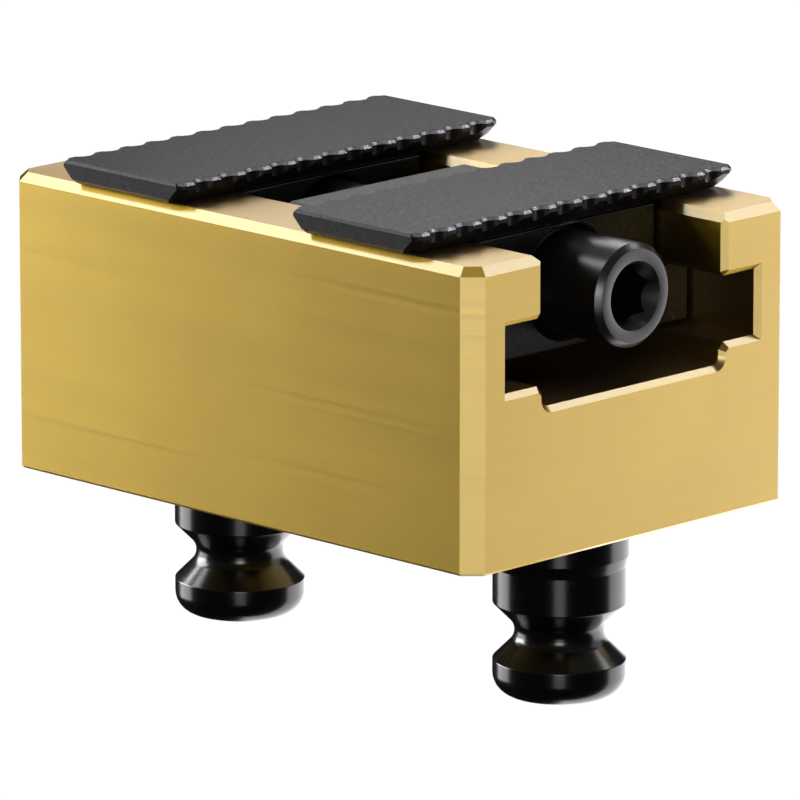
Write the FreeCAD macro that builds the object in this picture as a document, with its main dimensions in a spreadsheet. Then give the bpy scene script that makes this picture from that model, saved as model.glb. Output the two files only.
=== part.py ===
import FreeCAD, Part
import math
import os
import Sketcher

# Self-centring vise, in millimetres.
# X runs along the screw, Y across the body and Z up towards the jaws.
# The origin is the middle of the body's flat underside, halfway between the two pull studs.

# Driving sizes: name, value, meaning.
SIZES = [
    # Body
    ("body_length", 75.0, "body along the screw"),
    ("body_width", 52.0, "body across the screw"),
    ("top_rise", 7.0, "the screw's axis up to the top face"),
    ("body_corner_chamfer", 2.0, "upright corners"),
    ("body_top_chamfer", 1.0, "round the top face and along the slot mouth"),
    ("body_base_chamfer", 0.3, "edge break round the underside"),
    ("slot_width", 29.4, "slot mouth between the lips"),
    ("tee_width", 40.6, "undercut of the T-slot"),
    ("ledge_drop", 7.9, "the screw's axis down to the ledge that the jaws slide on"),
    ("lip_drop", 0.2, "the screw's axis down to the lower face of the lips"),
    ("channel_width", 28.9, "clearance channel below the T-slot"),
    ("channel_drop", 10.4, "the screw's axis down to the channel floor"),
    ("channel_round", 1.0, "fillet in the channel's corners"),
    ("ledge_chamfer", 0.8, "where the channel meets the ledge"),
    ("lip_chamfer", 0.5, "lower inner edge of each lip"),
    ("slot_end_chamfer", 0.65, "slot outline on both end faces"),
    # Screw
    ("spindle_height", 28.0, "underside to the screw's axis"),
    ("spindle_radius", 6.0, "plain ends and middle"),
    ("spindle_end_chamfer", 0.6, "outer edge of each end"),
    ("thread_radius", 6.5, "pitch radius of the left and right hand threads"),
    ("thread_start", 11.0, "vise centre to the inner end of each thread"),
    ("thread_length", 15.4, "each thread"),
    ("neck_radius", 4.5, "groove that the yoke holds"),
    ("neck_end_gap", 0.1, "play between the yoke and each shoulder of the groove"),
    ("socket_across", 6.0, "hexagon sockets across the flats"),
    ("socket_depth", 9.0, "end face to the bottom of the hexagon"),
    ("socket_mouth_radius", 4.0, "countersink at the end face"),
    ("socket_mouth_depth", 1.85, "end face to where the countersink meets the flats"),
    ("socket_turn", -13.6, "angle of the hexagon about the screw, degrees"),
    # Jaws
    ("jaw_centre", 18.7, "vise centre to the middle of each jaw"),
    ("jaw_width", 20.0, "gripping plate, tooth tip to tooth tip"),
    ("jaw_thickness", 2.55, "gripping plate"),
    ("jaw_lift", 0.1, "play between the plate and the body's top face"),
    ("jaw_top_chamfer", 0.35, "upper edge of the teeth and the plate's ends"),
    ("jaw_land", 0.4, "upright tip of each tooth"),
    ("jaw_base_chamfer", 0.5, "lower edge of the plate's ends"),
    ("tooth_pitch", 4.05, "tooth to tooth"),
    ("scallop_radius", 1.65, "hollow between two teeth, at the tips"),
    ("scallop_depth", 0.75, "hollow between two teeth"),
    ("carriage_length", 16.6, "T-shaped foot of the jaw along the screw"),
    ("carriage_chamfer", 0.4, "edges of the foot's two ends"),
    ("carriage_side_gap", 0.15, "play between the foot and each side of the T-slot"),
    ("carriage_rise_gap", 0.1, "play between the foot and the ledge or the lips"),
    ("nut_gap", 0.1, "radial play between the nut thread and the screw's thread"),
    # Centre yoke
    ("yoke_length", 6.8, "yoke along the screw"),
    ("yoke_drop", 0.2, "body's top face to the yoke's top face"),
    ("yoke_side_gap", 0.05, "play between the yoke and the slot's walls"),
    ("yoke_mouth_gap", 0.25, "play between the yoke and the slot mouth"),
    ("yoke_neck_gap", 0.08, "radial play round the screw's groove"),
    ("yoke_edge_chamfer", 0.4, "upper and side edges of the yoke"),
    # Yoke screws and dowels
    ("screw_offset", 9.5, "vise centre to each yoke screw"),
    ("screw_radius", 2.0, "yoke screw thread"),
    ("screw_head_radius", 3.5, "yoke screw head"),
    ("screw_head_height", 4.0, "yoke screw head"),
    ("screw_head_recess", 1.0, "underside to the screw head"),
    ("screw_reach", 8.0, "screw thread inside the yoke"),
    ("screw_socket_across", 3.0, "hexagon socket of the yoke screws"),
    ("screw_socket_depth", 2.0, "hexagon socket of the yoke screws"),
    ("screw_hole_gap", 0.2, "radial play of the screw in the body"),
    ("screw_head_gap", 0.3, "radial play of the head in its counterbore"),
    ("screw_thread_gap", 0.05, "radial play of the screw in the yoke"),
    ("screw_hole_extra", 1.0, "tapped hole beyond the screw's tip"),
    ("dowel_offset", 17.4, "vise centre to each locating dowel"),
    ("dowel_radius", 2.0, "locating dowel"),
    ("dowel_length", 20.0, "locating dowel"),
    ("dowel_reach", 6.0, "dowel inside the yoke"),
    ("dowel_gap", 0.02, "radial play of the dowel"),
    ("dowel_hole_extra", 0.5, "hole in the yoke beyond the dowel"),
    # Pull studs
    ("stud_spacing", 52.0, "stud centre to stud centre"),
    ("stud_length", 20.2, "underside of the body to the tip of the stud"),
    ("stud_radius", 7.65, "shank and head of the stud"),
    ("stud_collar_radius", 8.0, "locating collar"),
    ("stud_collar_length", 3.6, "locating collar"),
    ("stud_taper_length", 1.4, "taper from the collar to the shank"),
    ("stud_shank_length", 4.4, "shank between the taper and the neck"),
    ("stud_neck_length", 6.7, "neck between the shank and the head"),
    ("stud_waist_radius", 5.15, "narrowest place of the neck"),
    ("stud_tip_chamfer", 1.3, "lower edge of the head"),
    ("stud_thread_radius", 5.0, "thread in the body"),
    ("stud_thread_length", 13.0, "thread in the body"),
    ("stud_thread_gap", 0.1, "radial play of the thread"),
    ("stud_hole_extra", 1.0, "hole beyond the stud"),
    ("stud_socket_across", 6.0, "hexagon socket in the stud's tip"),
    ("stud_socket_depth", 5.0, "hexagon socket in the stud's tip"),
]

# Half of a hexagon's side is this share of half its width across the flats.
HALF_SIDE = math.tan(math.radians(30))
# Cutting tools reach this far past the surface that they start from.
OVERCUT = 1.0
# Two places closer than this are the same place.
NEAR = 0.001

doc = FreeCAD.newDocument("self_centring_vise")
sheet = doc.addObject("Spreadsheet::Sheet", "dims")
for row, (alias, value, meaning) in enumerate(SIZES, 1):
    sheet.set("A%d" % row, str(value))
    sheet.setAlias("A%d" % row, alias)
    sheet.set("B%d" % row, meaning)
doc.recompute()


class Size:
    """A size worked out from the sheet: its formula for the model and its value in millimetres."""

    def __init__(self, text, value):
        self.text = text
        self.value = value

    def combine(self, sign, other, value):
        text = other.text if isinstance(other, Size) else repr(float(other))
        return Size("(%s %s %s)" % (self.text, sign, text), value)

    def __add__(self, other):
        return self.combine("+", other, self.value + float(other))

    def __sub__(self, other):
        return self.combine("-", other, self.value - float(other))

    def __mul__(self, other):
        return self.combine("*", other, self.value * float(other))

    def __truediv__(self, other):
        return self.combine("/", other, self.value / float(other))

    def __neg__(self):
        return Size("(0 - %s)" % self.text, -self.value)

    def whole(self):
        return Size("round(%s)" % self.text, float(round(self.value)))

    def __float__(self):
        return float(self.value)


ZERO = Size("0", 0.0)


def size(alias):
    """The sheet's own size of that name."""
    return Size("dims.%s" % alias, float(sheet.get(alias)))


def bind(thing, prop, formula):
    """Ties a property to the sheet."""
    thing.setExpression(prop, formula.text)


# Sizes that several pieces share
half_body = size("body_length") / 2
half_slot = size("slot_width") / 2
half_tee = size("tee_width") / 2
half_channel = size("channel_width") / 2
screw_axis = size("spindle_height")
body_top = screw_axis + size("top_rise")
tee_floor = screw_axis - size("ledge_drop")
tee_roof = screw_axis - size("lip_drop")
channel_floor = screw_axis - size("channel_drop")
nut_radius = size("thread_radius") + size("nut_gap")
half_carriage = size("carriage_length") / 2
half_yoke = size("yoke_length") / 2
jaw_underside = body_top + size("jaw_lift")
jaw_top = jaw_underside + size("jaw_thickness")
screw_seat = size("screw_head_recess") + size("screw_head_height")
screw_tip = channel_floor + size("screw_reach")


def new_body(label):
    """An empty piece with its name."""
    body = doc.addObject("PartDesign::Body", label)
    body.Label = label
    return body


def place(body, x=ZERO, y=ZERO, z=ZERO):
    """Puts a piece at its place, tied to the sheet."""
    body.Placement = FreeCAD.Placement(FreeCAD.Vector(float(x), float(y), float(z)), FreeCAD.Rotation())
    bind(body, "Placement.Base.x", x)
    bind(body, "Placement.Base.y", y)
    bind(body, "Placement.Base.z", z)


def new_sketch(body, name, plane, shift=(ZERO, ZERO, ZERO), angle=None):
    """A sketch on one of the piece's own planes, shifted in the plane and off it, and turned in it."""
    sketch = body.newObject("Sketcher::SketchObject", name)
    origin_plane = [item for item in body.Origin.OriginFeatures if item.Role == plane][0]
    sketch.AttachmentSupport = [(origin_plane, "")]
    sketch.MapMode = "FlatFace"
    for axis, amount in zip("xyz", shift):
        bind(sketch, "AttachmentOffset.Base.%s" % axis, amount)
    if angle:
        bind(sketch, "AttachmentOffset.Rotation.Angle", angle)
    return sketch


def hold(sketch, geometry, point, across, up):
    """Holds one point of a sketch at its distances from the sketch's origin."""
    for kind, distance in (("DistanceX", across), ("DistanceY", up)):
        number = sketch.addConstraint(Sketcher.Constraint(kind, -1, 1, geometry, point, float(distance)))
        bind(sketch, "Constraints[%d]" % number, distance)


def outline(sketch, corners):
    """A closed outline of straight lines through the corners."""
    places = [FreeCAD.Vector(float(across), float(up), 0) for across, up in corners]
    lines = []
    for start, end in zip(places, places[1:] + places[:1]):
        lines.append(sketch.addGeometry(Part.LineSegment(start, end), False))
    for line, following in zip(lines, lines[1:] + lines[:1]):
        sketch.addConstraint(Sketcher.Constraint("Coincident", line, 2, following, 1))
    for line, (across, up) in zip(lines, corners):
        hold(sketch, line, 1, across, up)


def circle(sketch, across, up, radius):
    """A circle held by its centre and its radius."""
    centre = FreeCAD.Vector(float(across), float(up), 0)
    ring = sketch.addGeometry(Part.Circle(centre, FreeCAD.Vector(0, 0, 1), float(radius)), False)
    hold(sketch, ring, 3, across, up)
    number = sketch.addConstraint(Sketcher.Constraint("Radius", ring, float(radius)))
    bind(sketch, "Constraints[%d]" % number, radius)


def hexagon(sketch, across_flats):
    """A hexagon about the sketch's origin with two of its corners straight above and below."""
    flat = across_flats / 2
    half_side = flat * HALF_SIDE
    tip = half_side * 2
    outline(sketch, [(flat, half_side), (ZERO, tip), (-flat, half_side),
                     (-flat, -half_side), (ZERO, -tip), (flat, -half_side)])


def both_sides(corners):
    """An outline's corners and their mirror images across the sketch's upright axis."""
    return corners + [(-across, up) for across, up in reversed(corners)]


def pad_both_ways(body, name, sketch, length):
    """Material of that length, half on each side of the sketch."""
    pad = body.newObject("PartDesign::Pad", name)
    pad.Profile = sketch
    pad.SideType = "Symmetric"
    bind(pad, "Length", length)
    doc.recompute()
    return pad


def cut_through(body, name, sketch):
    """A cut all the way through on both sides of the sketch."""
    pocket = body.newObject("PartDesign::Pocket", name)
    pocket.Profile = sketch
    pocket.SideType = "Symmetric"
    pocket.Type = "ThroughAll"
    doc.recompute()
    return pocket


def cut_blind(body, name, sketch, depth, along_normal):
    """A cut of that depth to one side of the sketch."""
    pocket = body.newObject("PartDesign::Pocket", name)
    pocket.Profile = sketch
    bind(pocket, "Length", depth)
    pocket.Reversed = along_normal
    doc.recompute()
    return pocket


def turn(body, name, sketch, axis, cut=False):
    """Material, or a cut, made by one full turn of the sketch about its own axis."""
    feature = body.newObject("PartDesign::Groove" if cut else "PartDesign::Revolution", name)
    feature.Profile = sketch
    feature.ReferenceAxis = (sketch, [axis])
    feature.Angle = 360
    doc.recompute()
    return feature


def edges_where(feature, test):
    """The edges whose two ends and middle all pass the test."""
    names = []
    for number, edge in enumerate(feature.Shape.Edges, 1):
        first, last = edge.ParameterRange
        places = [edge.valueAt(first), edge.valueAt((first + last) / 2), edge.valueAt(last)]
        if all(test(place_on_edge) for place_on_edge in places):
            names.append("Edge%d" % number)
    return names


def chamfer(body, name, base, test, amount):
    """Chamfers the edges that pass the test."""
    feature = body.newObject("PartDesign::Chamfer", name)
    feature.Base = (base, edges_where(base, test))
    bind(feature, "Size", amount)
    doc.recompute()
    return feature


def fillet(body, name, base, test, radius):
    """Rounds the edges that pass the test."""
    feature = body.newObject("PartDesign::Fillet", name)
    feature.Base = (base, edges_where(base, test))
    bind(feature, "Radius", radius)
    doc.recompute()
    return feature


def at(value, goal):
    """Whether a place's coordinate is that of a size."""
    return abs(value - float(goal)) < NEAR


def make_body():
    """The body: one block with a T-slot along it and the holes for what is screwed to it."""
    body = new_body("body")
    half_width = size("body_width") / 2

    section = new_sketch(body, "body_section", "YZ_Plane")
    outline(section, both_sides([
        (half_width, ZERO), (half_width, body_top), (half_slot, body_top), (half_slot, tee_roof),
        (half_tee, tee_roof), (half_tee, tee_floor), (half_channel, tee_floor),
        (half_channel, channel_floor),
    ]))
    block = pad_both_ways(body, "body_block", section, size("body_length"))

    rounded = fillet(body, "channel_rounds", block,
                     lambda p: at(abs(p.y), half_channel) and at(p.z, channel_floor),
                     size("channel_round"))
    ledges = chamfer(body, "ledge_edges", rounded,
                     lambda p: at(abs(p.y), half_channel) and at(p.z, tee_floor),
                     size("ledge_chamfer"))
    lips = chamfer(body, "lip_edges", ledges,
                   lambda p: at(abs(p.y), half_slot) and at(p.z, tee_roof),
                   size("lip_chamfer"))
    corners = chamfer(body, "upright_corners", lips,
                      lambda p: at(abs(p.y), half_width) and at(abs(p.x), half_body),
                      size("body_corner_chamfer"))
    top = chamfer(body, "top_edges", corners, lambda p: at(p.z, body_top), size("body_top_chamfer"))
    ends = chamfer(body, "slot_ends", top,
                   lambda p: at(abs(p.x), half_body) and abs(p.y) < float(half_tee) + NEAR
                   and NEAR < p.z < float(body_top - size("body_top_chamfer")) + NEAR,
                   size("slot_end_chamfer"))
    chamfer(body, "underside_edges", ends, lambda p: at(p.z, ZERO), size("body_base_chamfer"))

    studs = new_sketch(body, "stud_circles", "XY_Plane")
    for side in (-1, 1):
        circle(studs, size("stud_spacing") / 2 * side, ZERO,
               size("stud_thread_radius") + size("stud_thread_gap"))
    cut_blind(body, "stud_holes", studs, size("stud_thread_length") + size("stud_hole_extra"), True)

    yoke_holes = (
        ("screw_holes", size("screw_offset"), size("screw_radius") + size("screw_hole_gap"),
         channel_floor),
        ("screw_counterbores", size("screw_offset"), size("screw_head_radius") + size("screw_head_gap"),
         screw_seat),
        ("dowel_holes", size("dowel_offset"), size("dowel_radius") + size("dowel_gap"), tee_floor),
    )
    for name, offset, radius, depth in yoke_holes:
        sketch = new_sketch(body, name + "_circles", "XY_Plane")
        for side in (-1, 1):
            circle(sketch, ZERO, offset * side, radius)
        cut_blind(body, name, sketch, depth, True)
    return body


def make_spindle():
    """The screw: a turned bar with two threads, a groove for the yoke and a hexagon in each end."""
    body = new_body("spindle")
    place(body, z=screw_axis)
    plain = size("spindle_radius")
    thread = size("thread_radius")
    half_neck = half_yoke + size("neck_end_gap")
    thread_end = size("thread_start") + size("thread_length")
    edge = size("spindle_end_chamfer")
    flat = size("socket_across") / 2

    half_profile = [
        (half_neck, size("neck_radius")), (half_neck, plain),
        (size("thread_start"), plain), (size("thread_start"), thread),
        (thread_end, thread), (thread_end, plain),
        (half_body - edge, plain), (half_body, plain - edge),
        (half_body, size("socket_mouth_radius")), (half_body - size("socket_mouth_depth"), flat),
        (half_body - size("socket_mouth_depth"), ZERO),
    ]
    profile = new_sketch(body, "spindle_profile", "XZ_Plane")
    outline(profile, both_sides(half_profile))
    turn(body, "spindle_bar", profile, "H_Axis")

    for name, side in (("left_socket", -1), ("right_socket", 1)):
        face = (ZERO, ZERO, half_body * side)
        sketch = new_sketch(body, name + "_hexagon", "YZ_Plane", face, size("socket_turn"))
        hexagon(sketch, size("socket_across"))
        cut_blind(body, name, sketch, size("socket_depth"), side < 0)
    return body


def make_jaw(label, side):
    """A jaw: a toothed gripping plate, a neck through the slot mouth and a T-foot with the nut thread."""
    body = new_body(label)
    place(body, x=size("jaw_centre") * side)
    side_gap = size("carriage_side_gap")
    rise_gap = size("carriage_rise_gap")

    # The foot fills the T-slot with a little play.
    section = new_sketch(body, "foot_section", "YZ_Plane")
    outline(section, both_sides([
        (half_tee - side_gap, tee_floor + rise_gap),
        (half_tee - side_gap, tee_roof - rise_gap),
        (half_slot - side_gap, tee_roof - rise_gap),
        (half_slot - side_gap, jaw_underside),
    ]))
    foot = pad_both_ways(body, "foot_block", section, size("carriage_length"))
    chamfer(body, "foot_edges", foot, lambda p: at(abs(p.x), half_carriage), size("carriage_chamfer"))

    # The plate lies on the body's top face. Its long edges lean in below the tooth tips.
    tip = size("jaw_width") / 2
    land_foot = jaw_top - size("jaw_top_chamfer") - size("jaw_land")
    undercut = land_foot - jaw_underside
    profile = new_sketch(body, "plate_profile", "XZ_Plane")
    outline(profile, both_sides([(tip - undercut, jaw_underside), (tip, land_foot), (tip, jaw_top)]))
    plate = pad_both_ways(body, "plate_block", profile, size("body_width"))
    half_length = size("body_width") / 2
    lower_ends = chamfer(body, "plate_lower_ends", plate,
                         lambda p: at(abs(p.y), half_length) and at(p.z, jaw_underside),
                         size("jaw_base_chamfer"))
    chamfer(body, "plate_upper_ends", lower_ends,
            lambda p: at(abs(p.y), half_length) and at(p.z, jaw_top), size("jaw_top_chamfer"))

    # The screw passes through the foot.
    nut = new_sketch(body, "nut_circle", "YZ_Plane")
    circle(nut, ZERO, screw_axis, nut_radius)
    cut_through(body, "nut_bore", nut)

    # One hollow is milled straight down at the plate's corner, and it repeats from tooth to tooth along
    # both long edges.
    teeth_length = size("tooth_pitch") * (size("body_width") / size("tooth_pitch")).whole()
    hollow_centre = tip + size("scallop_radius") - size("scallop_depth")
    hollow = new_sketch(body, "hollow_profile", "XZ_Plane", (hollow_centre, ZERO, teeth_length / 2))
    outline(hollow, [
        (ZERO, jaw_underside - OVERCUT), (size("scallop_radius"), jaw_underside - OVERCUT),
        (size("scallop_radius"), jaw_top + OVERCUT), (ZERO, jaw_top + OVERCUT),
    ])
    first = turn(body, "hollow", hollow, "V_Axis", True)
    teeth = body.newObject("PartDesign::MultiTransform", "teeth")
    teeth.Originals = [first]
    along = body.newObject("PartDesign::LinearPattern", "along_the_edge")
    along.Direction = (hollow, ["N_Axis"])
    along.Reversed = True
    bind(along, "Length", teeth_length)
    bind(along, "Occurrences", teeth_length / size("tooth_pitch") + 1)
    across = body.newObject("PartDesign::Mirrored", "other_edge")
    middle = [item for item in body.Origin.OriginFeatures if item.Role == "YZ_Plane"][0]
    across.MirrorPlane = (middle, [""])
    teeth.Transformations = [along, across]
    body.Tip = teeth
    doc.recompute()
    return body


def make_yoke():
    """The centre yoke: it straddles the screw's groove and stands on the channel floor."""
    body = new_body("centre_yoke")
    gap = size("yoke_side_gap")
    top = body_top - size("yoke_drop")
    section = new_sketch(body, "yoke_section", "YZ_Plane")
    outline(section, both_sides([
        (half_channel - size("channel_round"), channel_floor),
        (half_channel - size("channel_round"), tee_floor + gap),
        (half_tee - gap, tee_floor + gap), (half_tee - gap, tee_roof - gap),
        (half_slot - size("yoke_mouth_gap"), tee_roof - gap),
        (half_slot - size("yoke_mouth_gap"), top),
    ]))
    block = pad_both_ways(body, "yoke_block", section, size("yoke_length"))
    neck_half = half_slot - size("yoke_mouth_gap")
    chamfer(body, "yoke_upper_edges", block,
            lambda p: at(p.z, top) or (at(abs(p.y), neck_half) and at(abs(p.x), half_yoke)),
            size("yoke_edge_chamfer"))

    saddle = size("neck_radius") + size("yoke_neck_gap")
    round_top = new_sketch(body, "saddle_circle", "YZ_Plane")
    circle(round_top, ZERO, screw_axis, saddle)
    cut_through(body, "saddle_round", round_top)
    straight = new_sketch(body, "saddle_sides", "YZ_Plane")
    outline(straight, both_sides([(saddle, channel_floor - OVERCUT), (saddle, screw_axis)]))
    cut_through(body, "saddle_slot", straight)

    screws = new_sketch(body, "tapped_circles", "XY_Plane", (ZERO, ZERO, channel_floor))
    for side in (-1, 1):
        circle(screws, ZERO, size("screw_offset") * side, size("screw_radius") + size("screw_thread_gap"))
    cut_blind(body, "tapped_holes", screws, size("screw_reach") + size("screw_hole_extra"), True)

    dowels = new_sketch(body, "dowel_circles", "XY_Plane", (ZERO, ZERO, tee_floor))
    for side in (-1, 1):
        circle(dowels, ZERO, size("dowel_offset") * side, size("dowel_radius") + size("dowel_gap"))
    cut_blind(body, "dowel_holes", dowels, size("dowel_reach") + size("dowel_hole_extra"), True)
    return body


def make_yoke_screw(label, side):
    """A socket head cap screw that comes up through the body into the yoke."""
    body = new_body(label)
    place(body, y=size("screw_offset") * side)
    shank = size("screw_radius")
    head = size("screw_head_radius")
    lowest = size("screw_head_recess")
    profile = new_sketch(body, "screw_profile", "XZ_Plane")
    outline(profile, [
        (ZERO, lowest), (head, lowest), (head, screw_seat), (shank, screw_seat), (shank, screw_tip),
        (ZERO, screw_tip),
    ])
    turn(body, "screw_turned", profile, "V_Axis")
    sketch = new_sketch(body, "screw_hexagon", "XY_Plane", (ZERO, ZERO, lowest))
    hexagon(sketch, size("screw_socket_across"))
    cut_blind(body, "screw_socket", sketch, size("screw_socket_depth"), True)
    return body


def make_dowel(label, side):
    """A hardened pin, pressed up through the body into the yoke's wing."""
    body = new_body(label)
    place(body, y=size("dowel_offset") * side)
    radius = size("dowel_radius")
    top = tee_floor + size("dowel_reach")
    foot = top - size("dowel_length")
    profile = new_sketch(body, "dowel_profile", "XZ_Plane")
    outline(profile, [(ZERO, foot), (radius, foot), (radius, top), (ZERO, top)])
    turn(body, "dowel_turned", profile, "V_Axis")
    return body


def make_pull_stud(label, side):
    """A turned stud: head, waisted neck, shank and locating collar below the body, thread inside it."""
    body = new_body(label)
    place(body, x=size("stud_spacing") / 2 * side)
    shank = size("stud_radius")
    waist = size("stud_waist_radius")
    collar = size("stud_collar_radius")
    thread = size("stud_thread_radius")
    thread_tip = size("stud_thread_length")
    tip = -size("stud_length")
    edge = size("stud_tip_chamfer")
    # The flanks of the neck slope at 45 degrees.
    flank = shank - waist
    taper_end = -(size("stud_collar_length") + size("stud_taper_length"))
    neck_top = taper_end - size("stud_shank_length")
    neck_foot = neck_top - size("stud_neck_length")

    profile = new_sketch(body, "stud_profile", "XZ_Plane")
    outline(profile, [
        (ZERO, tip), (shank - edge, tip), (shank, tip + edge),
        (shank, neck_foot), (waist, neck_foot + flank), (waist, neck_top - flank), (shank, neck_top),
        (shank, taper_end), (collar, -size("stud_collar_length")), (collar, ZERO),
        (thread, ZERO), (thread, thread_tip), (ZERO, thread_tip),
    ])
    turn(body, "stud_turned", profile, "V_Axis")

    sketch = new_sketch(body, "stud_hexagon", "XY_Plane", (ZERO, ZERO, tip))
    hexagon(sketch, size("stud_socket_across"))
    cut_blind(body, "stud_socket", sketch, size("stud_socket_depth"), True)
    return body


pieces = [
    make_body(),
    make_spindle(),
    make_jaw("left_jaw", -1),
    make_jaw("right_jaw", 1),
    make_yoke(),
    make_yoke_screw("front_yoke_screw", -1),
    make_yoke_screw("rear_yoke_screw", 1),
    make_dowel("front_yoke_dowel", -1),
    make_dowel("rear_yoke_dowel", 1),
    make_pull_stud("left_pull_stud", -1),
    make_pull_stud("right_pull_stud", 1),
]
doc.recompute()

for thing in doc.Objects:
    if "Invalid" in thing.State or "Error" in thing.State:
        raise RuntimeError("%s did not build: %s" % (thing.Label, thing.State))
for piece in pieces:
    if piece.Shape.isNull() or not piece.Shape.isValid() or len(piece.Shape.Solids) != 1:
        raise RuntimeError("%s is not one valid solid" % piece.Label)

os.makedirs("parts", exist_ok=True)
for piece in pieces:
    piece.Shape.exportStep("parts/%s.step" % piece.Label)
    print("%s: %.1f cubic millimetres" % (piece.Label, piece.Shape.Volume))
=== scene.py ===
import math

import bmesh
import bpy
from mathutils import Matrix, Vector


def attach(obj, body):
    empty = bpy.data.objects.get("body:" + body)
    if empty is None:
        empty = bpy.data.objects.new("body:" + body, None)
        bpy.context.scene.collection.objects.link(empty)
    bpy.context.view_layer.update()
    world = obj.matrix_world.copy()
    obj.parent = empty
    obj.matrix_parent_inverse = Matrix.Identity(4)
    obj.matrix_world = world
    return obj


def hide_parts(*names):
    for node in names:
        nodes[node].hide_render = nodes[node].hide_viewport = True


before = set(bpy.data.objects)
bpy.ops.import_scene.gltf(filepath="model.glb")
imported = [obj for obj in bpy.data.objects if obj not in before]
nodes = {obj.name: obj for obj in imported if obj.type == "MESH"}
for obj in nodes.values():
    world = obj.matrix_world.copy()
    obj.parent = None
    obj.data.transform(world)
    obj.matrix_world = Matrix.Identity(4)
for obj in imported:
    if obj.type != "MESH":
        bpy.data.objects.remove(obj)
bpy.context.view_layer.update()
MM = 0.001

# Noise scales along X, Y and Z, in waves a metre.
WALL_LINES = (14.0, 14.0, 5200.0)
TOP_LINES = (20.0, 4200.0, 20.0)
CLOUDS = (60.0, 60.0, 60.0)
STEEL_GRAIN = (3200.0, 3200.0, 3200.0)
STEEL_PATCHES = (140.0, 140.0, 140.0)
TURNED_GRAIN = (2500.0, 2500.0, 2500.0)
TURNED_ABOUT_X = (5200.0, 120.0, 120.0)
TURNED_ABOUT_Z = (120.0, 120.0, 5200.0)

# Painted sheen: a paler gold base colour for faces that look up, standing in for the light the tops catch.
PAINTED_TOP_SHEEN = (0.88, 0.62, 0.25, 1.0)
BARE_STEEL = (0.40, 0.39, 0.41, 1.0)


def new_group(name, inputs, outputs):
    """A node group with those sockets and its two end nodes."""
    group = bpy.data.node_groups.new(name, "ShaderNodeTree")
    for socket, kind, value in inputs:
        made = group.interface.new_socket(name=socket, in_out="INPUT", socket_type=kind)
        if value is not None:
            made.default_value = value
    for socket, kind in outputs:
        group.interface.new_socket(name=socket, in_out="OUTPUT", socket_type=kind)
    return group, group.nodes.new("NodeGroupInput"), group.nodes.new("NodeGroupOutput")


def add(tree, kind, **settings):
    """A node with its properties and its inputs' values."""
    node = tree.nodes.new(kind)
    values = settings.pop("values", {})
    for key, value in settings.items():
        setattr(node, key, value)
    for key, value in values.items():
        node.inputs[key].default_value = value
    return node


def scaled_noise(tree, vector, stretch, detail=3.0, roughness=0.55):
    """Noise whose grain is stretched by a scale for each axis."""
    mapping = add(tree, "ShaderNodeMapping", values={"Scale": stretch})
    noise = add(tree, "ShaderNodeTexNoise", values={"Scale": 1.0, "Detail": detail, "Roughness": roughness})
    tree.links.new(vector, mapping.inputs["Vector"])
    tree.links.new(mapping.outputs["Vector"], noise.inputs["Vector"])
    return noise.outputs["Fac"]


def spread(tree, value, low, high, new_low, new_high):
    """A value moved from one range to another."""
    node = add(tree, "ShaderNodeMapRange",
               values={"From Min": low, "From Max": high, "To Min": new_low, "To Max": new_high})
    tree.links.new(value, node.inputs["Value"])
    return node.outputs["Result"]


def blend(tree, factor, first, second):
    """A value between two others."""
    node = add(tree, "ShaderNodeMix", data_type="FLOAT")
    tree.links.new(factor, node.inputs[0])
    tree.links.new(first, node.inputs[2])
    tree.links.new(second, node.inputs[3])
    return node.outputs[0]


def make_milled_group():
    """Tool marks of a milled and anodised block: level lines on the walls, lengthways lines on top.
    Upward is one on faces that look up and masks the painted sheen on the tops; Across is the direction across the
    lines."""
    group, source, result = new_group(
        "milled_marks", [("Position", "NodeSocketVector", None), ("Normal", "NodeSocketVector", None)],
        [("Lines", "NodeSocketFloat"), ("Cloud", "NodeSocketFloat"), ("Upward", "NodeSocketFloat"),
         ("Across", "NodeSocketVector")])
    position = source.outputs["Position"]
    walls = scaled_noise(group, position, WALL_LINES, 4.0, 0.6)
    tops = scaled_noise(group, position, TOP_LINES, 4.0, 0.6)
    split = add(group, "ShaderNodeSeparateXYZ")
    group.links.new(source.outputs["Normal"], split.inputs[0])
    upward = spread(group, split.outputs["Z"], 0.5, 0.8, 0.0, 1.0)
    group.links.new(blend(group, upward, walls, tops), result.inputs["Lines"])
    group.links.new(scaled_noise(group, position, CLOUDS, 2.0), result.inputs["Cloud"])
    across = add(group, "ShaderNodeCombineXYZ")
    level = spread(group, split.outputs["Z"], 0.8, 0.9, 0.0, 1.0)
    group.links.new(level, result.inputs["Upward"])
    group.links.new(level, across.inputs["Y"])
    group.links.new(spread(group, split.outputs["Z"], 0.8, 0.9, 1.0, 0.0), across.inputs["Z"])
    group.links.new(across.outputs["Vector"], result.inputs["Across"])
    return group


def make_grain_group():
    """The fine grain of blackened steel, with faint patches."""
    group, source, result = new_group(
        "steel_grain", [("Position", "NodeSocketVector", None)],
        [("Grain", "NodeSocketFloat"), ("Patches", "NodeSocketFloat")])
    position = source.outputs["Position"]
    group.links.new(scaled_noise(group, position, STEEL_GRAIN, 3.0, 0.7), result.inputs["Grain"])
    group.links.new(scaled_noise(group, position, STEEL_PATCHES, 3.0, 0.6), result.inputs["Patches"])
    return group


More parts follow.
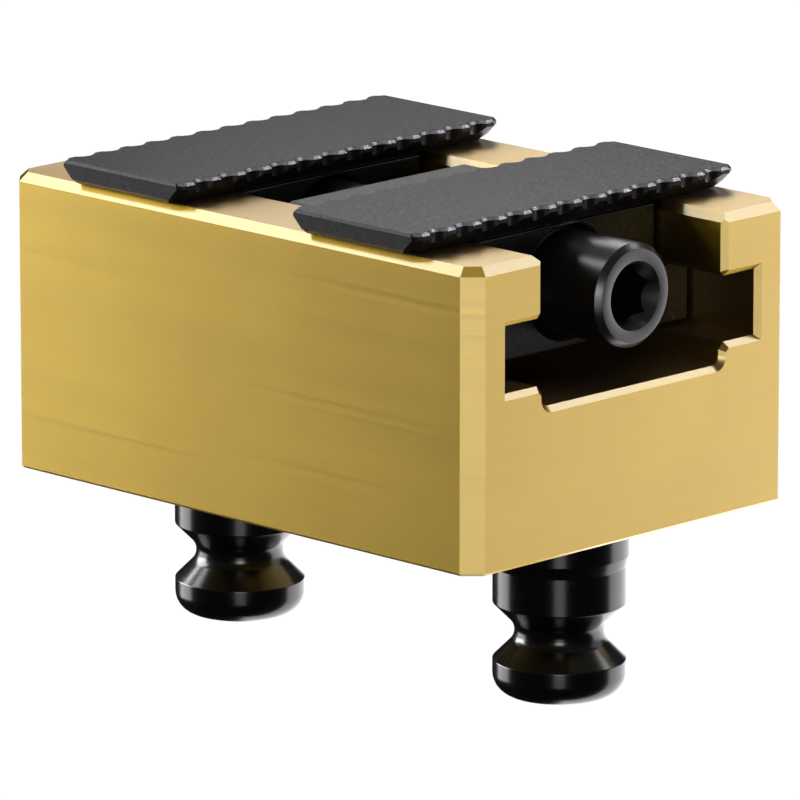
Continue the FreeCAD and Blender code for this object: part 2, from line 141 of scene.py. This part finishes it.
def make_turned_group():
    """Rings left by a lathe round an axis, and a faint grain."""
    group, source, result = new_group(
        "turned_rings", [("Position", "NodeSocketVector", None), ("Stretch", "NodeSocketVector", None)],
        [("Rings", "NodeSocketFloat"), ("Grain", "NodeSocketFloat")])
    position = source.outputs["Position"]
    product = add(group, "ShaderNodeVectorMath", operation="MULTIPLY")
    group.links.new(position, product.inputs[0])
    group.links.new(source.outputs["Stretch"], product.inputs[1])
    noise = add(group, "ShaderNodeTexNoise", values={"Scale": 1.0, "Detail": 3.0, "Roughness": 0.6})
    group.links.new(product.outputs[0], noise.inputs["Vector"])
    group.links.new(noise.outputs["Fac"], result.inputs["Rings"])
    group.links.new(scaled_noise(group, position, TURNED_GRAIN, 3.0, 0.6), result.inputs["Grain"])
    return group


def make_band_group():
    """One between two heights and short of the two ends along Y, and nought elsewhere."""
    group, source, result = new_group(
        "worn_band", [("Position", "NodeSocketVector", None), ("Low", "NodeSocketFloat", 0.0),
                      ("High", "NodeSocketFloat", 1.0), ("End", "NodeSocketFloat", 1.0)],
        [("Inside", "NodeSocketFloat")])
    split = add(group, "ShaderNodeSeparateXYZ")
    group.links.new(source.outputs["Position"], split.inputs[0])
    aside = add(group, "ShaderNodeMath", operation="ABSOLUTE")
    group.links.new(split.outputs["Y"], aside.inputs[0])
    inside = None
    for operation, value, limit in (("GREATER_THAN", split.outputs["Z"], "Low"),
                                    ("LESS_THAN", split.outputs["Z"], "High"),
                                    ("LESS_THAN", aside.outputs[0], "End")):
        test = add(group, "ShaderNodeMath", operation=operation)
        group.links.new(value, test.inputs[0])
        group.links.new(source.outputs[limit], test.inputs[1])
        if inside:
            both = add(group, "ShaderNodeMath", operation="MULTIPLY")
            group.links.new(inside, both.inputs[0])
            group.links.new(test.outputs[0], both.inputs[1])
            test = both
        inside = test.outputs[0]
    group.links.new(inside, result.inputs["Inside"])
    return group


milled_group = make_milled_group()
band_group = make_band_group()
grain_group = make_grain_group()
turned_group = make_turned_group()


def new_material(name, **principled):
    """A material with a Principled shader and object coordinates."""
    material = bpy.data.materials.new(name)
    material.use_nodes = True
    tree = material.node_tree
    shader = tree.nodes["Principled BSDF"]
    for key, value in principled.items():
        shader.inputs[key.replace("_", " ")].default_value = value
    coordinates = add(tree, "ShaderNodeTexCoord")
    return material, tree, shader, coordinates


def use_group(tree, group, **links):
    """A group node with its inputs linked."""
    node = add(tree, "ShaderNodeGroup", node_tree=group)
    for key, value in links.items():
        tree.links.new(value, node.inputs[key])
    return node


def tint(tree, shader, factor, low, high):
    """The base colour runs between two colours."""
    ramp = add(tree, "ShaderNodeValToRGB")
    ramp.color_ramp.elements[0].color = (*low, 1.0)
    ramp.color_ramp.elements[1].color = (*high, 1.0)
    tree.links.new(factor, ramp.inputs["Fac"])
    tree.links.new(ramp.outputs["Color"], shader.inputs["Base Color"])
    return ramp


def raise_bump(tree, shader, height, distance, strength):
    """A bump of a height in metres."""
    bump = add(tree, "ShaderNodeBump", values={"Distance": distance, "Strength": strength})
    tree.links.new(height, bump.inputs["Height"])
    tree.links.new(bump.outputs["Normal"], shader.inputs["Normal"])


def make_gold():
    """Gold anodised aluminium: a metal under a clear, faintly milled oxide, with a painted sheen that makes the faces
    looking up paler.
    """
    material, tree, shader, coordinates = new_material(
        "gold_anodised", Metallic=1.0, Anisotropic=0.85, Coat_Weight=1.0, Coat_Roughness=0.24, Coat_IOR=2.1)
    marks = use_group(tree, milled_group, Position=coordinates.outputs["Object"],
                      Normal=coordinates.outputs["Normal"])
    ramp = tint(tree, shader, spread(tree, marks.outputs["Cloud"], 0.3, 0.7, 0.0, 1.0),
                (0.63, 0.41, 0.026), (0.67, 0.44, 0.032))
    # Faces that look up get a paler base colour: a painted sheen on the tops.
    top = add(tree, "ShaderNodeMix", data_type="RGBA")
    tree.links.new(marks.outputs["Upward"], top.inputs[0])
    tree.links.new(ramp.outputs["Color"], top.inputs[6])
    top.inputs[7].default_value = PAINTED_TOP_SHEEN
    tree.links.new(top.outputs[2], shader.inputs["Base Color"])
    tree.links.new(spread(tree, marks.outputs["Lines"], 0.25, 0.75, 0.38, 0.48), shader.inputs["Roughness"])
    raise_bump(tree, shader, marks.outputs["Lines"], 0.000012, 0.35)
    tree.links.new(marks.outputs["Across"], shader.inputs["Tangent"])
    return material


def make_black_steel(name, low, high, gloss, bump, worn=None, **principled):
    """Blackened steel with a fine grain that catches light from the side.
    Worn gives two heights and an end along Y, in metres, between which the steel is bare."""
    material, tree, shader, coordinates = new_material(name, **principled)
    grain = use_group(tree, grain_group, Position=coordinates.outputs["Object"])
    ramp = tint(tree, shader, spread(tree, grain.outputs["Patches"], 0.3, 0.7, 0.0, 1.0), low, high)
    if worn:
        bare = use_group(tree, band_group, Position=coordinates.outputs["Object"])
        for key, value in zip(("Low", "High", "End"), worn):
            bare.inputs[key].default_value = value
        mixed = add(tree, "ShaderNodeMix", data_type="RGBA")
        tree.links.new(bare.outputs["Inside"], mixed.inputs[0])
        tree.links.new(ramp.outputs["Color"], mixed.inputs[6])
        mixed.inputs[7].default_value = BARE_STEEL
        tree.links.new(mixed.outputs[2], shader.inputs["Base Color"])
        tree.links.new(bare.outputs["Inside"], shader.inputs["Metallic"])
    tree.links.new(spread(tree, grain.outputs["Grain"], 0.3, 0.7, gloss - 0.14, gloss + 0.14),
                   shader.inputs["Roughness"])
    raise_bump(tree, shader, grain.outputs["Grain"], bump, 0.5)
    return material


def make_turned_steel(name, stretch, low, high, gloss, bump, **principled):
    """Steel with faint turned rings round an axis."""
    material, tree, shader, coordinates = new_material(name, **principled)
    direction = add(tree, "ShaderNodeCombineXYZ", values=dict(zip("XYZ", stretch)))
    rings = use_group(tree, turned_group, Position=coordinates.outputs["Object"],
                      Stretch=direction.outputs["Vector"])
    tint(tree, shader, spread(tree, rings.outputs["Grain"], 0.3, 0.7, 0.0, 1.0), low, high)
    tree.links.new(spread(tree, rings.outputs["Rings"], 0.3, 0.7, gloss - 0.02, gloss + 0.03),
                   shader.inputs["Roughness"])
    raise_bump(tree, shader, rings.outputs["Rings"], bump, 0.4)
    return material


gold = make_gold()
jaw_steel = make_black_steel(
    "black_oxide_jaw", low=(0.0075, 0.0065, 0.0075), high=(0.011, 0.0098, 0.011), gloss=0.36, bump=0.00006,
    worn=(0.03732, 0.03763, 0.0257), IOR=1.34)
yoke_steel = make_black_steel(
    "black_oxide_yoke", low=(0.05, 0.048, 0.046), high=(0.07, 0.068, 0.066), gloss=0.42, bump=0.00001,
    Metallic=0.0, IOR=1.6)
screw_steel = make_black_steel(
    "black_screw", low=(0.012, 0.012, 0.012), high=(0.02, 0.02, 0.02), gloss=0.34, bump=0.000008,
    Metallic=0.0, IOR=1.6)
spindle_steel = make_turned_steel(
    "dark_spindle", TURNED_ABOUT_X, low=(0.002, 0.002, 0.002), high=(0.004, 0.0035, 0.004), gloss=0.3,
    bump=0.000002, Metallic=0.0, IOR=1.9)
stud_steel = make_turned_steel(
    "glossy_stud", TURNED_ABOUT_Z, low=(0.002, 0.002, 0.002), high=(0.004, 0.004, 0.004), gloss=0.2,
    bump=0.000003, Metallic=0.0, IOR=1.6)
dowel_steel = make_turned_steel(
    "ground_dowel", TURNED_ABOUT_Z, low=(0.42, 0.42, 0.41), high=(0.52, 0.52, 0.51), gloss=0.22,
    bump=0.000004, Metallic=1.0)

MERGED = 1e-7
KEPT_EDGE = math.radians(20)


def finish_mesh(bm, name, material, body, slot, *replaced):
    """A closed mesh becomes a piece: doubles merged, faces outwards and sharp edges kept."""
    bmesh.ops.remove_doubles(bm, verts=bm.verts, dist=MERGED)
    bmesh.ops.recalc_face_normals(bm, faces=bm.faces)
    for face in bm.faces:
        face.smooth = True
    for edge in bm.edges:
        edge.smooth = edge.is_manifold and edge.calc_face_angle(0.0) < KEPT_EDGE
    mesh = bpy.data.meshes.new(name)
    bm.to_mesh(mesh)
    bm.free()
    piece = bpy.data.objects.new(name, mesh)
    bpy.context.scene.collection.objects.link(piece)
    mesh.materials.append(material)
    flat = piece.modifiers.new("flat_faces", "WEIGHTED_NORMAL")
    flat.keep_sharp = True
    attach(piece, body)
    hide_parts(*replaced)


def skin(bm, loops):
    """Faces between loops of equally many points, in millimetres. Returns the rows of corners."""
    rows = [[bm.verts.new(Vector(point) * MM) for point in loop] for loop in loops]
    for low, high in zip(rows, rows[1:]):
        for first in range(len(low)):
            second = (first + 1) % len(low)
            bm.faces.new((low[first], low[second], high[second], high[first]))
    return rows


def close_fan(bm, row, centre):
    """A fan of faces from a row of corners to one point."""
    tip = bm.verts.new(Vector(centre) * MM)
    for first in range(len(row)):
        bm.faces.new((row[first], row[(first + 1) % len(row)], tip))


def soften(corners, steps=4):
    """A profile of (along, radius, rounding): each corner gets its rounding as an arc."""
    points = []
    for index, (along, radius, rounding) in enumerate(corners):
        here = Vector((along, radius))
        if not rounding:
            points.append(tuple(here))
            continue
        before = (Vector(corners[index - 1][:2]) - here).normalized()
        after = (Vector(corners[index + 1][:2]) - here).normalized()
        half = before.angle(after) / 2
        reach = rounding / math.tan(half)
        centre = here + (before + after).normalized() * (rounding / math.sin(half))
        start = here + before * reach - centre
        end = here + after * reach - centre
        sweep = start.angle_signed(end)
        for step in range(steps + 1):
            turn = -sweep * step / steps
            points.append(tuple(centre + Vector((start.x * math.cos(turn) - start.y * math.sin(turn),
                                                 start.x * math.sin(turn) + start.y * math.cos(turn)))))
    return points


# Sizes in millimetres: along X from the middle of the block, and about an axis.
SIDES = 96
HEXAGON_FLATS = 6.0
HEXAGON_TURN = math.radians(16.4)

SCREW_AXIS = 28.0
SCREW_RADIUS = 6.0
SCREW_END = 37.5
SCREW_CHAMFER = 0.65
GROOVE_END = 3.5
GROOVE_RADIUS = 4.5
RELIEF_START = 11.0
RELIEF_END = 26.4
RELIEF_RADIUS = 5.9
SOCKET_MOUTH = 4.0
SOCKET_SLOPE = 1.85
SOCKET_FLOOR = 28.5
SOCKET_DRILL = 2.7
DRILL_POINT = 27.4

THREAD_START = 11.2
THREAD_LENGTH = 15.0
THREAD_PITCH = 1.5
THREAD_ROOT = 5.7
THREAD_HEIGHT = 0.78
THREAD_STEPS = 48
THREAD_RUNOUT = 14


def socket_radius(angle):
    """A hexagon socket's radius at an angle from one of its corners."""
    return HEXAGON_FLATS / 2 / math.cos(angle % math.radians(60) - math.radians(30))


def around(sides):
    """Angles at equal steps round a circle."""
    return [2 * math.pi * step / sides for step in range(sides)]


def about_screw(along, radius, angle):
    """A point about the screw's axis."""
    return along, radius * math.cos(angle), SCREW_AXIS + radius * math.sin(angle)


def socket_ring(along):
    """A hexagon round the screw's axis, at one place or at a place that follows the angle."""
    return [about_screw(along(angle) if callable(along) else along, socket_radius(angle), angle + HEXAGON_TURN)
            for angle in around(SIDES)]


def socket_chamfer(angle):
    """Where the chamfer of the screw's socket meets the hexagon."""
    return SCREW_END - SOCKET_SLOPE * (SOCKET_MOUTH - socket_radius(angle))


def make_spindle():
    """The screw: turned bar, groove, two sockets and two threads."""
    bm = bmesh.new()
    half = soften([
        (GROOVE_END, GROOVE_RADIUS, 0), (GROOVE_END, SCREW_RADIUS, 0.15),
        (RELIEF_START - 0.6, SCREW_RADIUS, 0), (RELIEF_START, RELIEF_RADIUS, 0),
        (RELIEF_END, RELIEF_RADIUS, 0), (RELIEF_END + 0.2, SCREW_RADIUS, 0),
        (SCREW_END - SCREW_CHAMFER, SCREW_RADIUS, 0.08), (SCREW_END, SCREW_RADIUS - SCREW_CHAMFER, 0.05),
        (SCREW_END, SOCKET_MOUTH, 0.05), (SCREW_END - SOCKET_SLOPE / 2, SOCKET_MOUTH - 0.5, 0),
    ])[:-1]
    loops = [[about_screw(along, radius, angle + HEXAGON_TURN) for angle in around(SIDES)]
             for along, radius in half]
    loops += [socket_ring(socket_chamfer), socket_ring(SOCKET_FLOOR)]
    loops.append([about_screw(SOCKET_FLOOR, SOCKET_DRILL, angle + HEXAGON_TURN) for angle in around(SIDES)])
    mirrored = [[(-x, y, z) for x, y, z in loop] for loop in reversed(loops)]
    rows = skin(bm, mirrored + loops)
    close_fan(bm, rows[0], (-DRILL_POINT, 0, SCREW_AXIS))
    close_fan(bm, rows[-1], (DRILL_POINT, 0, SCREW_AXIS))
    for side in (-1, 1):
        add_thread(bm, side)
    finish_mesh(bm, "spindle_turned", spindle_steel, "screw", "dark_spindle_steel", "spindle")


def add_thread(bm, side):
    """A thread outwards from the middle. The two sides wind opposite ways."""
    steps = round(THREAD_LENGTH / THREAD_PITCH * THREAD_STEPS)
    loops = []
    for step in range(steps + 1):
        place = side * (THREAD_START + THREAD_PITCH * step / THREAD_STEPS)
        grown = min(1.0, step / THREAD_RUNOUT, (steps - step) / THREAD_RUNOUT)
        crest = THREAD_ROOT + 0.02 + (THREAD_HEIGHT - 0.02) * grown
        loops.append([about_screw(place + along, radius, -2 * math.pi * step / THREAD_STEPS)
                      for along, radius in ((-0.6, THREAD_ROOT), (-0.09, crest), (0.09, crest), (0.6, THREAD_ROOT))])
    rows = skin(bm, loops)
    bm.faces.new(rows[0])
    bm.faces.new(reversed(rows[-1]))


# Height, radius and rounding down a pull stud: thread, collar, shank, waist and head.
STUD_OUTLINE = (
    (13.0, 0.01, 0), (13.0, 4.4, 0), (12.4, 5.0, 0), (0.0, 5.0, 0), (0.0, 7.9, 0), (-0.12, 8.0, 0),
    (-3.6, 8.0, 0.5), (-5.0, 7.65, 0.5), (-9.37, 7.65, 0.25),
    (-12.7, 4.32, 2.0), (-16.03, 7.65, 0.25), (-20.2, 7.65, 2.6), (-20.2, 3.9, 0),
)
STUD_TOP = STUD_OUTLINE[0][0]
STUD_SOCKET_MOUTH = -20.0
STUD_SOCKET_FLOOR = -15.2
STUD_DRILL_POINT = -14.4
STUD_PLACE = 26.0


def make_stud(name, centre, node):
    """A pull stud: thread, collar, shank, waisted neck and head with a hexagon socket."""
    bm = bmesh.new()
    angles = around(SIDES)
    loops = [[(centre + radius * math.cos(angle), radius * math.sin(angle), height) for angle in angles]
             for height, radius in soften(STUD_OUTLINE, 8)]
    for height in (STUD_SOCKET_MOUTH, STUD_SOCKET_FLOOR):
        loops.append([(centre + socket_radius(angle) * math.cos(angle), socket_radius(angle) * math.sin(angle),
                       height) for angle in angles])
    rows = skin(bm, loops)
    close_fan(bm, rows[0], (centre, 0, STUD_TOP))
    close_fan(bm, rows[-1], (centre, 0, STUD_DRILL_POINT))
    finish_mesh(bm, name, stud_steel, "base", "glossy_stud_steel", node)


# A gripping plate, about its own middle. Its hollows' centres lie outside the tooth tips.
HOLLOWS = 14
HOLLOW_STEPS = 12
HOLLOW_RADIUS = 1.65
HOLLOW_SET_OUT = 0.9
TOOTH_PITCH = 4.05
TIP = 10.0
PLATE_END = 26.0
PLATE_TOP = 37.65
PLATE_CHAMFER = 0.35
LAND_FOOT = 36.9
HOLLOW_FOOT_DROP = 0.75
UNDERCUT_DROP = 1.3
PLATE_FOOT = 35.1
JAW_PLACE = 18.7

# The foot under the plate, in the slot: wings, neck and bore.
WING_HALF = 20.15
WING_FOOT = 20.2
WING_TOP = 27.7
NECK_HALF = 14.55
FOOT_STATIONS = ((7.9, 0.0, 34.8), (8.05, 0.15, 34.8), (8.23, 0.33, 34.73), (8.3, 0.4, 34.55))
FOOT_END = FOOT_STATIONS[-1][0]
BORE_RADIUS = 6.6
BORE_CHAMFER = 0.3
BORE_SIDES = 72


def tooth_edge(inset, depth=0.0):
    """One long edge of a gripping plate, from its near to its far end: (across, along the edge).
    Inset by the top chamfer, or at a depth below the tooth tips' lands, where it leans in and the end hollows widen."""
    half_plate = PLATE_END - inset / 2 - max(0.0, depth - UNDERCUT_DROP)
    points = []
    for number in range(HOLLOWS):
        grown = inset + (depth if number in (0, HOLLOWS - 1) else 0.0)
        hollow = HOLLOW_RADIUS + grown
        half_width = math.sqrt(hollow ** 2 - (HOLLOW_SET_OUT + grown) ** 2)
        middle = TOOTH_PITCH * (number - (HOLLOWS - 1) / 2)
        start = math.asin(max(-half_width, -half_plate - middle) / hollow)
        end = math.asin(min(half_width, half_plate - middle) / hollow)
        for step in range(HOLLOW_STEPS + 1):
            turn = start + (end - start) * step / HOLLOW_STEPS
            points.append((min(TIP + HOLLOW_SET_OUT - hollow * math.cos(turn), TIP - inset - depth),
                           middle + hollow * math.sin(turn)))
    return points


def foot_section(shrink, top):
    """Across the foot: the neck between the lips over wings in the slot, drawn in by a chamfer."""
    half = [(WING_HALF - shrink, WING_FOOT + shrink), (WING_HALF - shrink, WING_TOP - shrink),
            (NECK_HALF - shrink, WING_TOP - shrink), (NECK_HALF - shrink, top)]
    return half + [(-y, z) for y, z in reversed(half)]


def add_plate(bm, centre):
    """The toothed gripping plate, closed above and below."""

    def both_edges(points):
        """A closed loop from one long edge's points and their mirror images."""
        return ([(centre + x, y, z) for x, y, z in points]
                + [(centre - x, y, z) for x, y, z in reversed(points)])

    def level(z, inset, depth):
        """The plate's outline at one height."""
        return both_edges([(x, y, z) for x, y in tooth_edge(inset, depth)])

    hollow_feet = [(x, y, LAND_FOOT - (TIP - x)) for x, y in tooth_edge(0.0)]
    widened = [(x, y, LAND_FOOT - HOLLOW_FOOT_DROP) for x, y in tooth_edge(0.0, HOLLOW_FOOT_DROP)]
    hollow_feet[:HOLLOW_STEPS + 1] = widened[:HOLLOW_STEPS + 1]
    hollow_feet[-HOLLOW_STEPS - 1:] = widened[-HOLLOW_STEPS - 1:]
    rows = skin(bm, [
        level(PLATE_TOP, PLATE_CHAMFER, 0.0), level(PLATE_TOP - PLATE_CHAMFER, 0.0, 0.0),
        level(LAND_FOOT, 0.0, 0.0), both_edges(hollow_feet),
        level(LAND_FOOT - UNDERCUT_DROP, 0.0, UNDERCUT_DROP), level(PLATE_FOOT, 0.0, LAND_FOOT - PLATE_FOOT),
    ])
    bm.faces.new(rows[0])
    bmesh.ops.remove_doubles(bm, verts=bm.verts, dist=MERGED)
    rim = [edge for edge in bm.edges if edge.is_boundary]
    bmesh.ops.triangle_fill(bm, edges=rim, use_beauty=False, use_dissolve=False)


def add_foot(bm, centre):
    """The foot with its bore for the screw, chamfered at both ends."""
    stations = [(-x, shrink, top) for x, shrink, top in reversed(FOOT_STATIONS)] + list(FOOT_STATIONS)
    outer = skin(bm, [[(centre + x, y, z) for y, z in foot_section(shrink, top)]
                      for x, shrink, top in stations])
    inner = FOOT_END - BORE_CHAMFER
    wide = BORE_RADIUS + BORE_CHAMFER
    bore = skin(bm, [[about_screw(centre + x, radius, angle) for angle in around(BORE_SIDES)]
                     for x, radius in ((-FOOT_END, wide), (-inner, BORE_RADIUS),
                                       (inner, BORE_RADIUS), (FOOT_END, wide))])
    for rank in (0, -1):
        corners = set(outer[rank]) | set(bore[rank])
        edges = [edge for edge in bm.edges if edge.is_boundary and set(edge.verts) <= corners]
        bmesh.ops.triangle_fill(bm, edges=edges, use_beauty=True, use_dissolve=False)


def add_neck(bm, centre):
    """A narrower neck that joins the foot to the plate."""
    half_x, half_y = 7.6, 14.3
    outline = ((-half_x, -half_y), (half_x, -half_y), (half_x, half_y), (-half_x, half_y))
    for row in skin(bm, [[(centre + x, y, z) for x, y in outline] for z in (34.5, 35.4)]):
        bm.faces.new(row)


def make_jaw(name, centre, body, node):
    """A jaw of one piece: toothed plate, neck, wings and the bore for the screw."""
    bm = bmesh.new()
    add_plate(bm, centre)
    add_foot(bm, centre)
    add_neck(bm, centre)
    finish_mesh(bm, name, jaw_steel, body, "black_jaw_steel", node)


make_spindle()
make_stud("left_stud_turned", -STUD_PLACE, "left_pull_stud")
make_stud("right_stud_turned", STUD_PLACE, "right_pull_stud")
make_jaw("left_jaw_milled", -JAW_PLACE, "left_carriage", "left_jaw")
make_jaw("right_jaw_milled", JAW_PLACE, "right_carriage", "right_jaw")

for name, material in (
        ("body", gold), ("centre_yoke", yoke_steel),
        ("front_yoke_screw", screw_steel), ("rear_yoke_screw", screw_steel),
        ("front_yoke_dowel", dowel_steel), ("rear_yoke_dowel", dowel_steel)):
    for place in nodes[name].material_slots:
        place.link = "OBJECT"
        place.material = material


FLOOR_HEIGHT = -20.21 * MM
FLOOR_HALF = 4.0


def make_floor():
    """A plain pale floor under the studs. The camera sees it nearly white, with the shadow faint on it.
    Other rays pass through it, so that the metal reflects the world below the horizon."""
    bm = bmesh.new()
    bmesh.ops.create_grid(bm, x_segments=1, y_segments=1, size=FLOOR_HALF)
    bmesh.ops.translate(bm, verts=bm.verts, vec=(0, 0, FLOOR_HEIGHT))
    mesh = bpy.data.meshes.new("floor")
    bm.to_mesh(mesh)
    bm.free()
    floor = bpy.data.objects.new("floor", mesh)
    bpy.context.scene.collection.objects.link(floor)
    material = bpy.data.materials.new("pale_floor")
    material.use_nodes = True
    tree = material.node_tree
    tree.nodes.remove(tree.nodes["Principled BSDF"])
    paint = add(tree, "ShaderNodeBsdfDiffuse", values={"Color": (0.12, 0.12, 0.12, 1.0)})
    clear = add(tree, "ShaderNodeBsdfTransparent")
    glow = add(tree, "ShaderNodeEmission", values={"Color": (1.0, 1.0, 1.0, 1.0), "Strength": 1.07})
    seen = add(tree, "ShaderNodeMixShader", values={"Fac": 0.94})
    chosen = add(tree, "ShaderNodeMixShader")
    path = add(tree, "ShaderNodeLightPath")
    tree.links.new(paint.outputs[0], seen.inputs[1])
    tree.links.new(glow.outputs[0], seen.inputs[2])
    tree.links.new(path.outputs["Is Camera Ray"], chosen.inputs["Fac"])
    tree.links.new(clear.outputs[0], chosen.inputs[1])
    tree.links.new(seen.outputs[0], chosen.inputs[2])
    tree.links.new(chosen.outputs[0], tree.nodes["Material Output"].inputs["Surface"])
    mesh.materials.append(material)


GLOW = (2.45, 2.38, 2.45, 1.0)
GLOW_SIDES = (137, 47)


def make_world():
    """A dim studio, less dark overhead, with a bright sector below the horizon behind the block's right end."""
    world = bpy.data.worlds.new("studio")
    bpy.context.scene.world = world
    world.use_nodes = True
    tree = world.node_tree
    coordinates = add(tree, "ShaderNodeTexCoord")
    split = add(tree, "ShaderNodeSeparateXYZ")
    tree.links.new(coordinates.outputs["Generated"], split.inputs[0])
    ramp = add(tree, "ShaderNodeValToRGB")
    ramp.color_ramp.elements[0].position = 0.0
    ramp.color_ramp.elements[0].color = (0.012, 0.012, 0.012, 1.0)
    ramp.color_ramp.elements[1].position = 0.75
    ramp.color_ramp.elements[1].color = (0.10, 0.10, 0.10, 1.0)
    tree.links.new(split.outputs["Z"], ramp.inputs["Fac"])
    background = tree.nodes["Background"]
    bright = spread(tree, split.outputs["Z"], 0.1, -0.05, 0.0, 1.0)
    for azimuth in GLOW_SIDES:
        edge = math.radians(azimuth)
        side = add(tree, "ShaderNodeVectorMath", operation="DOT_PRODUCT")
        side.inputs[1].default_value = (math.cos(edge), math.sin(edge), 0.0)
        tree.links.new(coordinates.outputs["Generated"], side.inputs[0])
        product = add(tree, "ShaderNodeMath", operation="MULTIPLY")
        tree.links.new(bright, product.inputs[0])
        tree.links.new(spread(tree, side.outputs["Value"], 0.0, 0.06, 0.0, 1.0), product.inputs[1])
        bright = product.outputs[0]
    glow = add(tree, "ShaderNodeMix", data_type="RGBA")
    tree.links.new(bright, glow.inputs[0])
    tree.links.new(ramp.outputs["Color"], glow.inputs[6])
    glow.inputs[7].default_value = GLOW
    tree.links.new(glow.outputs[2], background.inputs["Color"])


def make_light(name, place, aim, size, power):
    """A square softbox at a place, in metres, facing another place."""
    lamp = bpy.data.lights.new(name, "AREA")
    lamp.shape = "SQUARE"
    lamp.size = size
    lamp.energy = power
    light = bpy.data.objects.new(name, lamp)
    bpy.context.scene.collection.objects.link(light)
    light.location = place
    light.rotation_euler = (Vector(aim) - Vector(place)).to_track_quat("-Z", "Y").to_euler()


# The view, fitted to the photograph's straight edges.
VIEW_AZIMUTH = math.radians(44.723)
VIEW_ELEVATION = math.radians(13.585)
VIEW_DISTANCE = 1.05219
VIEW_AIM = Vector((-1.31, 1.80, 9.12)) * MM
VIEW_LENS = 410.48


def make_camera():
    """The photograph's view."""
    level = math.cos(VIEW_ELEVATION)
    back = Vector((math.sin(VIEW_AZIMUTH) * level, -math.cos(VIEW_AZIMUTH) * level, math.sin(VIEW_ELEVATION)))
    right = Vector((math.cos(VIEW_AZIMUTH), math.sin(VIEW_AZIMUTH), 0))
    up = back.cross(right)
    lens = bpy.data.cameras.new("camera")
    lens.lens = VIEW_LENS
    lens.sensor_width = 36.0
    lens.clip_start = 0.05
    camera = bpy.data.objects.new("camera", lens)
    bpy.context.scene.collection.objects.link(camera)
    turn = Matrix((right, up, back)).transposed()
    camera.matrix_world = Matrix.Translation(VIEW_AIM + back * VIEW_DISTANCE) @ turn.to_4x4()
    bpy.context.scene.camera = camera


make_floor()
make_world()
make_light("left_softbox", (-0.94, -0.34, 0.28), (0, 0, 0.02), 0.6, 11.0)
make_light("left_low_softbox", (-0.94, -0.34, -0.06), (0, 0, 0), 0.6, 3.9)
make_light("left_high_softbox", (-0.75, -0.26, 0.76), (0, 0, 0.02), 0.2, 0.75)
make_light("front_low_softbox", (0.70, -0.70, 0.14), (0, 0, 0), 0.3, 1.6)
make_light("front_floor_softbox", (0.70, -0.70, -0.20), (0, 0, 0), 0.3, 0.42)
make_light("rear_right_softbox", (0.50, 0.85, 0.28), (0, 0, 0.02), 0.6, 1.0)
make_light("rear_high_softbox", (0.26, 0.76, 0.75), (0, 0, 0.02), 0.2, 0.7)
make_light("rear_left_softbox", (-0.17, 0.19, 0.20), (0, 0, 0.03), 0.12, 0.12)
make_light("far_left_softbox", (-0.68, 0.69, 0.28), (0, 0, 0.03), 0.2, 0.025)
make_light("overhead_softbox", (-0.20, 0.15, 1.0), (0, 0, 0.02), 0.6, 1.6)
make_camera()
bpy.context.scene.view_settings.view_transform = "Standard"
